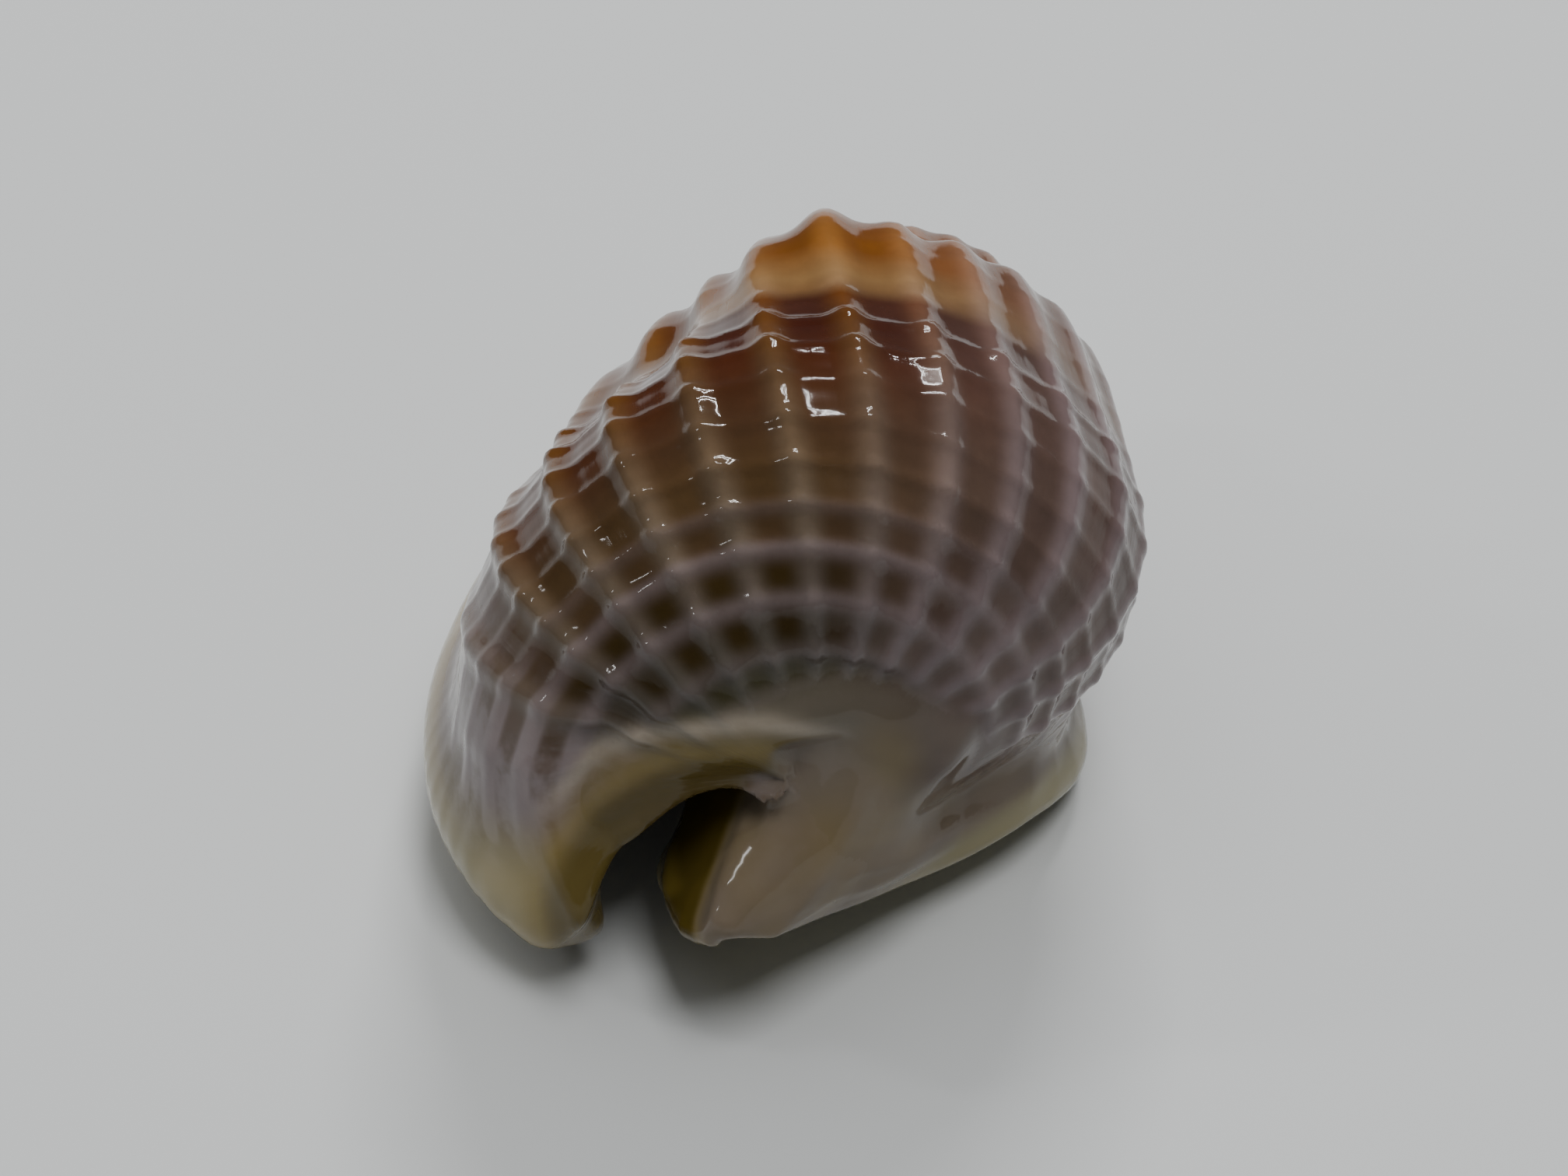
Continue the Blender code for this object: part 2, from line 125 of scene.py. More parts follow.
# Columella, from inside the shell to its foot: x, y, z and radius
COLUMELLA = [(2.0, -2.6, 3.5, 1.3), (1.9, -3.8, 3.4, 1.7), (1.75, -5.0, 3.3, 1.45),
             (1.5, -6.1, 3.2, 0.95), (1.2, -7.0, 3.0, 0.6), (0.85, -7.75, 2.75, 0.36)]

# Front of the shell, from the crest above the notch down to the margin: columns from left to
# right, each from the top to the bottom: x, y, z and half the thickness
FRONT = [[(1.45, -6.4, 4.1, 0.5), (1.3, -6.95, 3.45, 0.4), (1.02, -7.6, 2.95, 0.3),
          (0.72, -8.2, 2.6, 0.2)],
         [(1.8, -6.1, 4.0, 0.6), (1.7, -6.65, 3.45, 0.5), (1.45, -7.3, 2.85, 0.38),
          (1.05, -7.95, 2.4, 0.24)],
         [(2.15, -5.5, 3.4, 0.5), (2.05, -6.2, 2.9, 0.45), (1.85, -6.75, 2.4, 0.36),
          (1.56, -7.1, 1.98, 0.25)],
         [(2.6, -4.45, 2.5, 0.5), (2.65, -4.85, 2.05, 0.42), (2.68, -5.15, 1.65, 0.35),
          (2.62, -5.35, 1.35, 0.27)],
         [(3.25, -3.75, 2.0, 0.48), (3.45, -3.9, 1.7, 0.42), (3.62, -4.0, 1.4, 0.35),
          (3.75, -4.0, 1.15, 0.27)],
         [(3.7, -2.85, 1.6, 0.48), (3.88, -2.95, 1.3, 0.42), (4.02, -2.95, 1.0, 0.35),
          (4.15, -2.9, 0.75, 0.27)],
         [(3.7, -1.8, 1.2, 0.48), (3.9, -1.85, 0.95, 0.42), (4.03, -1.85, 0.65, 0.35),
          (4.15, -1.8, 0.45, 0.27)]]
FRONT_GRID = (13, 7)

# Side of the columella that faces the notch: columns from inside to the tip, each from the fold
# to the edge
CANAL_SIDE = [[(1.25, -5.5, 3.5, 0.4), (0.5, -5.5, 2.9, 0.38), (-0.02, -5.7, 2.15, 0.32)],
              [(1.05, -6.4, 3.4, 0.35), (0.45, -6.3, 2.75, 0.32), (-0.1, -6.35, 1.8, 0.28)],
              [(0.87, -7.15, 3.15, 0.28), (0.42, -7.05, 2.5, 0.26), (-0.08, -7.05, 1.6, 0.24)],
              [(0.7, -7.75, 2.85, 0.22), (0.42, -7.7, 2.4, 0.21), (0.14, -7.72, 1.9, 0.2)],
              [(0.6, -8.2, 2.65, 0.17), (0.54, -8.22, 2.5, 0.17), (0.48, -8.2, 2.33, 0.16)]]
CANAL_GRID = (9, 5)

# Margin of the callus shield, x, y and height, the heights of its underside inside that, the
# two darker spots on it, x, y and radius, and its thickness at the edge and slope from there
SHIELD_MARGIN = [(4.5, -2.4, 0.25), (4.1, -4.14, 0.92), (2.78, -5.66, 1.07), (1.9, -6.6, 1.5),
                 (1.2, -7.2, 1.7), (0.35, -7.4, 1.6), (-0.3, -6.9, 1.2), (-0.62, -6.3, 0.95),
                 (-0.36, -5.65, 0.9), (-0.05, -5.2, 0.9), (0.3, -4.6, 0.95), (0.3, -3.6, 1.25),
                 (-0.1, -2.4, 1.3), (-0.8, -1.1, 1.2), (-0.6, -0.1, 0.9), (0.7, 0.35, 0.5),
                 (2.1, 0.1, 0.25), (3.5, -0.83, 0.15)]
SHIELD_UNDERSIDE = [(1.9, -2.9, 0.0), (2.4, -1.6, 0.0), (3.1, -2.9, 0.02), (1.6, -4.3, 0.25),
                    (2.6, -4.3, 0.3), (1.4, -1.0, 0.15), (0.9, -5.6, 0.8), (1.0, -3.4, 0.4)]
SHIELD_SPOTS = [(1.68, -1.26, 0.4), (2.99, -3.14, 0.36)]
SHIELD_EDGE = 0.5
SHIELD_SLOPE = 1.0

# How widely each pair of surfaces is rounded into the other, in mm
ROUNDED = {"whorl to whorl": 0.05, "end of the last whorl": 0.2, "lip": 1.1, "crest": 0.35,
           "opening": 0.15, "notch": 0.3, "back of the notch": 0.6, "shield": 0.25,
           "edge of the shield": 0.3, "front to columella": 0.2, "canal to front": 0.12,
           "columella at the opening": 0.45, "columella in the shell": 1.0, "bumps": 0.4,
           "flat that it lies on": 0.05}
INTO_THE_SHELL = ((1.7, 2.7), (1.2, 2.0))

# Fineness of the flat sections' tables, and the box that the surface is looked for in, in mm
TABLE_STEP = 0.04
SEARCH_LOW = (-5.4, -9.4, -0.5)
SEARCH_HIGH = (6.4, 5.6, 8.9)

# Larger than any distance in the shell
FAR = 1e3

# Where each finish fades in or out: distances in mm, places along the outline from 0 at the
# suture to 1 at the front, and angles behind the lip in degrees
FADES = {"off the whorl": (0.12, 0.4), "off the bare whorl": (0.03, 0.2),
         "from the opening": (0.1, 0.6), "from the pad": (0.15, 0.9), "from the front": (0.2, 1.1),
         "on the base": (0.55, 0.7), "under the shoulder": (0.24, 0.34),
         "ribs behind the lip": (24.0, 58.0), "ribs thin out": (0.84, 0.93),
         "ribs lower": (125.0, 180.0), "cords behind the lip": (12.0, 30.0),
         "cords full": (40.0, 75.0), "cords thin out": (0.8, 0.88),
         "after the last cord": (0.93, 0.96),
         "at the flange": (243.0, 262.0), "callus": (0.02, 0.25), "front": (0.1, 0.6),
         "canal": (0.05, 0.3), "left of the columella": (1.2, 0.6),
         "wall above the opening": (4.4, 3.4), "left of the wall": (1.9, 0.6),
         "notch": (0.4, 1.45), "above the notch": (3.2, 4.2), "lip's edge": (10.0, 30.0),
         "outer lip": (1.6, 2.4), "rolled lip": (0.0, 0.3), "crest": (0.0, 0.3),
         "inside": (0.02, 0.14), "inside, with painted shade behind the lip": (3.0, 14.0),
         "underneath": (-1.2, -0.8)}

# Height of the ribs on the base, at the front and far from the lip, as shares taken off
RIBS_LOWER_ON_BASE = 0.4
RIBS_LOWER_AT_FRONT = 0.85
RIBS_LOWER_FAR_ROUND = 0.5

# Height of the cords: on the shoulder, added below it and added on the base, their share beside
# the lip, and the share taken off at the front
CORDS_ON_SHOULDER, CORDS_ADDED_BELOW, CORDS_ADDED_ON_BASE = 0.08, 0.34, 0.5
CORDS_BESIDE_LIP = 0.35
CORDS_LOWER_AT_FRONT = 0.8

# A painted highlight, a pale line along the ridge over the notch: its distance from the notch and its
# half width
PAINTED_HIGHLIGHT_AT, PAINTED_HIGHLIGHT_WIDTH = 1.2, 0.13


def smooth_curve(points, samples, closed=False):
    """Points evenly spaced on a smooth curve through the given points."""
    given = np.array(points, dtype=float)
    if closed:
        knots = np.vstack([given[-1], given, given[0], given[1]])
    else:
        knots = np.vstack([2 * given[0] - given[1], given, 2 * given[-1] - given[-2]])
    dense = []
    for p0, p1, p2, p3 in zip(knots, knots[1:], knots[2:], knots[3:]):
        for t in np.linspace(0.0, 1.0, 24, endpoint=False):
            dense.append(0.5 * (2 * p1 + (p2 - p0) * t + (2 * p0 - 5 * p1 + 4 * p2 - p3) * t ** 2
                                + (3 * p1 - p0 - 3 * p2 + p3) * t ** 3))
    dense.append(given[0] if closed else given[-1])
    dense = np.array(dense)
    length = np.concatenate([[0.0], np.cumsum(np.linalg.norm(np.diff(dense, axis=0), axis=1))])
    wanted = np.linspace(0.0, length[-1], samples, endpoint=not closed)
    return np.stack([np.interp(wanted, length, dense[:, k]) for k in range(dense.shape[1])], axis=1)


def ease(value, start, stop):
    """0 before start, 1 after stop, and a smooth step between them."""
    t = np.clip((value - start) / (stop - start), 0.0, 1.0)
    return t * t * (3.0 - 2.0 * t)


def join(a, b, blend):
    """Union of two distances, rounded where they meet."""
    h = np.clip(0.5 + 0.5 * (b - a) / blend, 0.0, 1.0)
    return b + (a - b) * h - blend * h * (1.0 - h)


def cut(a, b, blend):
    """Distance a with b taken out of it, rounded at the edge."""
    return -join(-a, b, blend)


class Section:
    """Signed distance to a closed flat outline, read from a fine table."""

    def __init__(self, outline, low, high, step):
        self.low, self.step = np.array(low, dtype=float), step
        self.count = np.ceil((np.array(high) - self.low) / step).astype(int) + 1
        axes = [self.low[k] + step * np.arange(self.count[k]) for k in range(2)]
        u, v = np.meshgrid(*axes, indexing="ij")
        away = np.full(u.shape, 1e9)
        inside = np.zeros(u.shape, dtype=bool)
        for a, b in zip(outline, np.roll(outline, -1, axis=0)):
            along = b - a
            t = ((u - a[0]) * along[0] + (v - a[1]) * along[1]) / (along @ along + 1e-12)
            t = np.clip(t, 0.0, 1.0)
            away = np.minimum(away, np.hypot(u - a[0] - t * along[0], v - a[1] - t * along[1]))
            if a[1] != b[1]:
                crosses = (a[1] > v) != (b[1] > v)
                inside ^= crosses & (u < a[0] + (v - a[1]) * (b[0] - a[0]) / (b[1] - a[1]))
        self.table = np.where(inside, -away, away)

    def distance(self, u, v):
        """Distances at points, growing steadily outside the table."""
        p = [(np.asarray(value) - self.low[k]) / self.step for k, value in enumerate((u, v))]
        held = [np.clip(p[k], 0.0, self.count[k] - 1.001) for k in range(2)]
        cell = [h.astype(int) for h in held]
        part = [h - c for h, c in zip(held, cell)]
        t = self.table
        i, j = cell
        near = t[i, j] * (1 - part[1]) + t[i, j + 1] * part[1]
        far = t[i + 1, j] * (1 - part[1]) + t[i + 1, j + 1] * part[1]
        outside = np.hypot(p[0] - held[0], p[1] - held[1]) * self.step
        return near * (1 - part[0]) + far * part[0] + outside


WHORL_LINE = smooth_curve(OUTLINE, 160)
WHORL_CORE = np.array([(-3.0, 14.3), (-3.0, 6.44)])
WHORL = Section(np.vstack([WHORL_LINE, WHORL_CORE]), (0.0, -4.0), (9.0, 20.0), TABLE_STEP)
LUMEN = Section(smooth_curve(HOLLOW, 90, closed=True), (-1.0, 4.0), (8.0, 18.0), TABLE_STEP)


def growth(turns_back):
    """Size of the whorl, with the lip as 1."""
    last_turn = GROWTH_LAST_TURN ** -np.minimum(turns_back, 1.0)
    return last_turn * GROWTH_SPIRE ** -np.maximum(turns_back - 1.0, 0.0)


def spire_sink(size):
    """How far the whorls before the last turn lie below their even place."""
    return SPIRE_SINK * np.maximum(0.0, 1.0 / GROWTH_LAST_TURN - size)


def spiral(points):
    """Distance below the pole, distance from the axis, and angle about it."""
    v = points - POLE
    x, z = v @ ACROSS, v @ UP
    return -(v @ AXIS), np.hypot(x, z), np.arctan2(z, x)


def swelling(angle, depth):
    """How far the whorl stands above its even growth, above all where the lip flares."""
    lift = np.interp(depth, *zip(*LIP_SWELLING)) * ease(angle, FLARE_START, FLARE_FULL)
    for at, spread, below, reach, height in UNEVEN:
        lift = lift + height * np.exp(-((angle - at) / spread) ** 2 - ((depth - below) / reach) ** 2)
    return lift


def drawn_back(angle, rho):
    """How far the front of the whorl draws back from its full depth."""
    near_lip = 1.0 - ease(LIP_ANGLE - angle, DRAWN_FULL, DRAWN_START)
    return DRAWN_BACK * near_lip * ease(rho, *DRAWN_WITHIN)


def whorls(points):
    """Distance to the coiled whorls, and the turn that is nearest."""
    below, away, around = spiral(points)
    total = np.full(len(points), FAR)
    nearest = np.full(len(points), FAR)
    turn = np.zeros(len(points), dtype=int)
    for k in range(1, -WHORLS, -1):
        angle = around + TURN * k
        turns_back = (LIP_ANGLE - angle) / TURN
        size = growth(turns_back)
        depth = (below - spire_sink(size)) / size
        if k >= 0:
            depth = depth + drawn_back(angle, away / size)
        d = size * WHORL.distance(away / size, depth)
        if k >= 0:
            d = d - swelling(angle, depth)
            past = away * np.sin(np.clip(angle - LIP_ANGLE, -math.pi / 2, math.pi / 2))
            d = cut(d, -past, ROUNDED["end of the last whorl"])
            d = np.where(turns_back > -0.22, d, FAR)
        closer = d < nearest
        nearest = np.where(closer, d, nearest)
        turn = np.where(closer, k, turn)
        total = join(total, d, ROUNDED["whorl to whorl"])
    return total, turn


def chain(points, stations, samples=28):
    """Distance to a smooth run of round stations, x, y, z and radius."""
    run = smooth_curve(stations, samples)
    total = np.full(len(points), FAR)
    for a, b in zip(run, run[1:]):
        along = b[:3] - a[:3]
        t = np.clip((points - a[:3]) @ along / (along @ along), 0.0, 1.0)
        d = np.linalg.norm(points - a[:3] - t[:, None] * along, axis=1) - (a[3] + t * (b[3] - a[3]))
        total = np.minimum(total, d)
    return total


def sheet(points, columns, samples):
    """Distance to a smooth sheet with rounded edges, given as columns of x, y, z and half thickness."""
    fine = np.array([smooth_curve(column, samples[1]) for column in columns])
    fine = np.stack([smooth_curve(fine[:, k], samples[0]) for k in range(samples[1])], axis=1)
    margin = fine[..., 3].max() + 1.2
    low = fine[..., :3].min(axis=(0, 1)) - margin
    high = fine[..., :3].max(axis=(0, 1)) + margin
    close = np.all((points > low) & (points < high), axis=1)
    here = points[close]
    nearest = np.full(len(here), FAR)
    for i in range(samples[0] - 1):
        for j in range(samples[1] - 1):
            a, b, c, d = fine[i, j], fine[i + 1, j], fine[i, j + 1], fine[i + 1, j + 1]
            for corners in ((a, b, c), (d, c, b)):
                nearest = np.minimum(nearest, triangle_distance(here, *corners))
    total = np.full(len(points), FAR)
    total[close] = nearest
    return total


def triangle_distance(points, a, b, c):
    """Distance to a triangle whose corners carry half its thickness."""
    ab, ac, ap = b[:3] - a[:3], c[:3] - a[:3], points - a[:3]
    d1, d2 = ap @ ab, ap @ ac
    aa, bb, cc = ab @ ab, ab @ ac, ac @ ac
    spread = aa * cc - bb * bb
    s, t = (cc * d1 - bb * d2) / spread, (aa * d2 - bb * d1) / spread
    s0, t0 = np.clip(d1 / aa, 0.0, 1.0), np.clip(d2 / cc, 0.0, 1.0)
    u0 = np.clip((ap - ab) @ (ac - ab) / ((ac - ab) @ (ac - ab)), 0.0, 1.0)
    places = [(s0, 0.0 * s0), (0.0 * t0, t0), (1.0 - u0, u0)]
    inside = (s >= 0) & (t >= 0) & (s + t <= 1)
    nearest = np.full(len(points), FAR)
    for s1, t1 in places + [(np.where(inside, s, 0.0), np.where(inside, t, 0.0))]:
        gap = np.linalg.norm(ap - s1[:, None] * ab - t1[:, None] * ac, axis=1)
        nearest = np.minimum(nearest, gap - (a[3] + s1 * (b[3] - a[3]) + t1 * (c[3] - a[3])))
    return nearest


def hollow(points):
    """Distance to the space inside the last whorl."""
    below, away, around = spiral(points)
    total = np.full(len(points), FAR)
    for k in (1, 0):
        angle = around + TURN * k
        turns_back = (LIP_ANGLE - angle) / TURN
        size = growth(turns_back)
        near_mouth = 1.0 - ease(turns_back, 0.0, MOUTH_FLARE_TURNS)
        rho = away / size
        rho = rho - MOUTH_FLARE * near_mouth * ease(rho, *MOUTH_FLARE_FROM)
        d = LUMEN.distance(rho, below / size + drawn_back(angle, away / size))
        end = (turns_back - HOLLOW_TURNS) * 6.0
        start = (-turns_back - 0.2) * 6.0
        d = np.maximum(size * d * HOLLOW_ROUNDING, np.maximum(end, start))
        total = np.minimum(total, d)
    return total


def smooth_surface(known, spread):
    """Height as a smooth function of x and y, through known points."""
    known = np.array(known, dtype=float)

    def basis(xy):
        gap = np.linalg.norm(xy[:, None, :] - known[None, :, :2], axis=2)
        return np.sqrt(gap ** 2 + spread ** 2)

    flat = np.hstack([np.ones((len(known), 1)), known[:, :2]])
    matrix = np.block([[basis(known[:, :2]), flat], [flat.T, np.zeros((3, 3))]])
    weights = np.linalg.solve(matrix, np.concatenate([known[:, 2], np.zeros(3)]))

    def height(xy):
        return basis(xy) @ weights[:-3] + weights[-3] + xy @ weights[-2:]

    return height


SHIELD_PLAN = Section(smooth_curve(SHIELD_MARGIN, 120, closed=True)[:, :2],
                      (-3.0, -10.0), (7.0, 3.0), TABLE_STEP)
SHIELD_HEIGHT = smooth_surface(SHIELD_MARGIN + SHIELD_UNDERSIDE, 0.6)
ARCH = Section(np.vstack([smooth_curve(NOTCH[1:-1], 70), NOTCH[-1:], NOTCH[:1]]),
               (-4.0, -4.0), (4.0, 9.0), TABLE_STEP)


def shield(points):
    """Distance to the callus pad beside the opening."""
    plan = SHIELD_PLAN.distance(points[:, 0], points[:, 1])
    underside = SHIELD_HEIGHT(points[:, :2])
    top = underside + SHIELD_EDGE + SHIELD_SLOPE * np.maximum(-plan, 0.0)
    rounding = ROUNDED["edge of the shield"]
    d = cut(plan, points[:, 2] - underside, rounding)
    return cut(d, (top - points[:, 2]) * 0.75, rounding)


def notch(points):
    """Distance to the slot of the siphonal notch."""
    arch = ARCH.distance(points[:, 0], points[:, 2])
    return cut(arch, NOTCH_BACK - points[:, 1], ROUNDED["back of the notch"])


def pillar(points):
    """Distance to the columella with the front of the shell, which hangs together with it."""
    d = chain(points, COLUMELLA)
    d = join(d, sheet(points, FRONT, FRONT_GRID), ROUNDED["front to columella"])
    return join(d, sheet(points, CANAL_SIDE, CANAL_GRID), ROUNDED["canal to front"])


def shell_distance(points):
    """Distance to the whole shell, still without its ribs and cords."""
    d, turn = whorls(points)
    d = join(d, chain(points, LIP_ROLL), ROUNDED["lip"])
    d = join(d, chain(points, NOTCH_CREST), ROUNDED["crest"])
    d = cut(d, hollow(points), ROUNDED["opening"])
    d = cut(d, notch(points), ROUNDED["notch"])
    d = join(d, shield(points), ROUNDED["shield"])
    low, high = ROUNDED["columella at the opening"], ROUNDED["columella in the shell"]
    in_the_shell = ease(points[:, 0], *INTO_THE_SHELL[0]) * ease(points[:, 2], *INTO_THE_SHELL[1])
    d = join(d, pillar(points), low + (high - low) * in_the_shell)
    for bump in TEETH + LOBES:
        d = join(d, chain(points, bump, 2), ROUNDED["bumps"])
    return cut(d, points[:, 2], ROUNDED["flat that it lies on"])


def sample_field(low, high, step):
    """The shell's distance on a grid. Away from the surface it is only sampled coarsely."""
    coarse = 4
    count = np.ceil((high - low) / (step * coarse)).astype(int) + 1
    axes = [low[k] + step * coarse * np.arange(count[k]) for k in range(3)]
    grid = np.stack(np.meshgrid(*axes, indexing="ij"), axis=-1).reshape(-1, 3)
    rough = shell_distance(grid).reshape(count)
    near = np.abs(rough) < step * coarse * 1.8
    block = np.zeros(count - 1, dtype=bool)
    for i in (0, 1):
        for j in (0, 1):
            for k in (0, 1):
                block |= near[i:count[0] - 1 + i, j:count[1] - 1 + j, k:count[2] - 1 + k]
    fine, wanted = rough[:-1, :-1, :-1], block
    for axis in range(3):
        fine, wanted = np.repeat(fine, coarse, axis), np.repeat(wanted, coarse, axis)
    index = np.argwhere(wanted)
    fine[wanted] = shell_distance(low + step * index)
    return fine


def surface_mesh(low, high, step):
    """Vertices and quads of the surface where the distance is zero."""
    field = sample_field(low, high, step)
    inside = field < 0
    shape = np.array(field.shape)
    corners = [(i, j, k) for i in (0, 1) for j in (0, 1) for k in (0, 1)]
    inner = [inside[i:shape[0] - 1 + i, j:shape[1] - 1 + j, k:shape[2] - 1 + k]
             for i, j, k in corners]
    total = np.sum(inner, axis=0)
    cells = np.argwhere((total > 0) & (total < 8))
    number = np.full(shape - 1, -1)
    number[tuple(cells.T)] = np.arange(len(cells))

    position = np.zeros((len(cells), 3))
    hits = np.zeros(len(cells))
    for a in corners:
        for axis in range(3):
            if a[axis]:
                continue
            b = tuple(1 if k == axis else a[k] for k in range(3))
            fa = field[tuple((cells + a).T)]
            fb = field[tuple((cells + b).T)]
            crossing = (fa < 0) != (fb < 0)
            t = np.where(crossing, fa / np.where(crossing, fa - fb, 1.0), 0.0)
            point = np.array(a, dtype=float)[None, :] + t[:, None] * np.eye(3)[axis]
            position += np.where(crossing[:, None], point, 0.0)
            hits += crossing
    vertices = low + step * (cells + position / hits[:, None])

    quads = []
    for axis in range(3):
        b, c = (axis + 1) % 3, (axis + 2) % 3
        first = [slice(1, n - 1) for n in shape]
        first[axis] = slice(0, shape[axis] - 1)
        second = list(first)
        second[axis] = slice(1, shape[axis])
        start, stop = inside[tuple(first)], inside[tuple(second)]
        edge = np.argwhere(start != stop)
        outward = start[tuple(edge.T)]
        edge = edge + [0 if k == axis else 1 for k in range(3)]
        ring = []
        for db, dc in ((0, 0), (1, 0), (1, 1), (0, 1)):
            cell = edge.copy()
            cell[:, b] -= db
            cell[:, c] -= dc
            ring.append(number[tuple(cell.T)])
        ring = np.stack(ring, axis=1)
        ring[~outward] = ring[~outward][:, ::-1]
        quads.append(ring)
    return settle(vertices, field, low, step), np.vstack(quads)


def read_grid(field, place):
    """Values of a grid at places between its points."""
    cell = place.astype(int)
    part = place - cell
    total = np.zeros(len(place))
    for corner in ((i, j, k) for i in (0, 1) for j in (0, 1) for k in (0, 1)):
        weight = np.prod(np.where(corner, part, 1.0 - part), axis=1)
        total += weight * field[tuple((cell + corner).T)]
    return total


def settle(vertices, field, low, step):
    """Vertices moved onto the surface, along the slope of the grid."""
    place = (vertices - low) / step
    slope = np.zeros_like(vertices)
    reach = 0.6
    for k in range(3):
        ahead = reach * np.eye(3)[k]
        rise = read_grid(field, place + ahead) - read_grid(field, place - ahead)
        slope[:, k] = rise / (2.0 * reach * step)
    steep = np.maximum(np.sum(slope ** 2, axis=1), 0.3)
    for _ in range(2):
        move = np.clip(shell_distance(vertices) / steep, -reach * step, reach * step)
        vertices = vertices - move[:, None] * slope
    return vertices


def outline_place(rho, depth):
    """Where on the outline the nearest point lies, from 0 at the suture to 1 at the front."""
    nearest = np.full(len(rho), FAR)
    along = np.zeros(len(rho))
    for k, (a, b) in enumerate(zip(WHORL_LINE, WHORL_LINE[1:])):
        side = b - a
        t = ((rho - a[0]) * side[0] + (depth - a[1]) * side[1]) / (side @ side)
        t = np.clip(t, 0.0, 1.0)
        gap = np.hypot(rho - a[0] - t * side[0], depth - a[1] - t * side[1])
        along = np.where(gap < nearest, (k + t) / (len(WHORL_LINE) - 1), along)
        nearest = np.minimum(nearest, gap)
    return along


def fade(value, name):
    """A smooth step from 0 to 1 between the two places that FADES gives a name."""
    return ease(value, *FADES[name])


def surface_measures(points):
    """Where each vertex lies on the growing whorl, and which finish it has."""
    x, y, z = points.T
    below, away, around = spiral(points)
    d, turn = whorls(points)
    angle = around + TURN * turn
    size = growth((LIP_ANGLE - angle) / TURN)
    last_whorl = turn >= 0
    depth = (below - spire_sink(size)) / size
    depth = depth + np.where(last_whorl, drawn_back(angle, away / size), 0.0)
    rho = (away - np.where(last_whorl, swelling(angle, depth), 0.0)) / size
    along = outline_place(rho, depth)
    from_lip = np.degrees(LIP_ANGLE - angle)
    rib = (angle + RIB_LEAN * along) * RIBS_PER_TURN / TURN - FIRST_RIB
    cord = np.interp(along, CORDS, np.arange(len(CORDS)), left=-0.5, right=len(CORDS) - 0.4)

    opening, pad, slot = hollow(points), shield(points), notch(points)
    face = sheet(points, FRONT, FRONT_GRID)
    canal_side = np.minimum(sheet(points, CANAL_SIDE, CANAL_GRID), chain(points, COLUMELLA))
    callus = 1.0 - fade(pad, "callus")
    front = 1.0 - fade(face, "front")
    canal = (1.0 - fade(canal_side, "canal")) * (1.0 - front) * fade(x, "left of the columella")
    plain = (1.0 - front) * (1.0 - canal)

    # Ribs and cords fade out towards the opening, the shield, the front and the flange
    on_base = fade(along, "on the base")
    free = 1.0 - fade(np.abs(d), "off the bare whorl")
    free *= fade(opening, "from the opening") * fade(pad, "from the pad")
    free *= fade(face, "from the front")
    free *= 1.0 - fade(from_lip, "at the flange") * on_base * (turn == 0)
    ribbed = free * fade(from_lip, "ribs behind the lip")
    for lower, share in ((RIBS_LOWER_ON_BASE, on_base),
                         (RIBS_LOWER_AT_FRONT, fade(along, "ribs thin out")),
                         (RIBS_LOWER_FAR_ROUND, fade(from_lip, "ribs lower"))):
        ribbed = ribbed * (1.0 - lower * share)
    corded = CORDS_ON_SHOULDER + CORDS_ADDED_BELOW * fade(along, "under the shoulder")
    corded = free * (corded + CORDS_ADDED_ON_BASE * on_base)
    corded *= fade(from_lip, "cords behind the lip") * (1.0 - fade(along, "after the last cord"))
    corded *= CORDS_BESIDE_LIP + (1.0 - CORDS_BESIDE_LIP) * fade(from_lip, "cords full")
    corded *= 1.0 - CORDS_LOWER_AT_FRONT * fade(along, "cords thin out")

    spots = sum(np.exp(-((x - spot_x) ** 2 + (y - spot_y) ** 2) / radius ** 2)
                for spot_x, spot_y, radius in SHIELD_SPOTS)
    lip = (1.0 - fade(from_lip, "lip's edge")) * last_whorl * fade(away / size, "outer lip") * plain
    # Dark inside the opening: partly the shell's own brown, and partly painted shade that grows deeper
    # behind the lip
    inside = (1.0 - fade(opening, "inside")) * (1.0 - callus) * plain
    # Painted highlight: a thin pale line along the ridge over the notch, standing in for a glint of the
    # lamps
    painted_highlight = np.exp(-((slot - PAINTED_HIGHLIGHT_AT) / PAINTED_HIGHLIGHT_WIDTH) ** 2)
    return {"rib": rib, "cord": cord, "along": along, "size": size, "from_lip": from_lip,
            "ribbed": ribbed, "corded": corded, "callus": callus, "front": front, "canal": canal,
            "lip": lip, "rolled": 1.0 - fade(chain(points, LIP_ROLL), "rolled lip"),
            "crest": 1.0 - fade(chain(points, NOTCH_CREST), "crest"),
            "painted_highlight": painted_highlight * fade(z, "above the notch") * (1.0 - front),
            "notch": (1.0 - fade(slot, "notch")) * (1.0 - callus),
            "inside": inside * fade(from_lip, "inside, with painted shade behind the lip"),
            # Darker on the wall above the opening: partly brown showing through the thin glaze, partly
            # painted shade
            "parietal": fade(-y, "wall above the opening") * fade(x, "left of the wall") * callus,
            "spots": spots * fade(-z, "underneath"),
            "on_whorl": 1.0 - fade(np.abs(d), "off the whorl")}


def smooth_shell():
    """The shell's plain form as a mesh object that carries its measures."""
    vertices, quads = surface_mesh(np.array(SEARCH_LOW), np.array(SEARCH_HIGH), FIELD_STEP)
    mesh = bpy.data.meshes.new("shell_plain_form")
    mesh.from_pydata(((vertices - CENTRE) * MM).tolist(), [], quads.tolist())
    mesh.validate()
    for name, values in surface_measures(vertices).items():
        layer = mesh.attributes.new(name, "FLOAT", "POINT")
        layer.data.foreach_set("value", np.asarray(values, dtype=np.float32))
    plain = bpy.data.objects.new("nassa_shell_form", mesh)
    bpy.context.scene.collection.objects.link(plain)
    print("shell", len(vertices), "vertices", len(quads), "quads")
    return plain


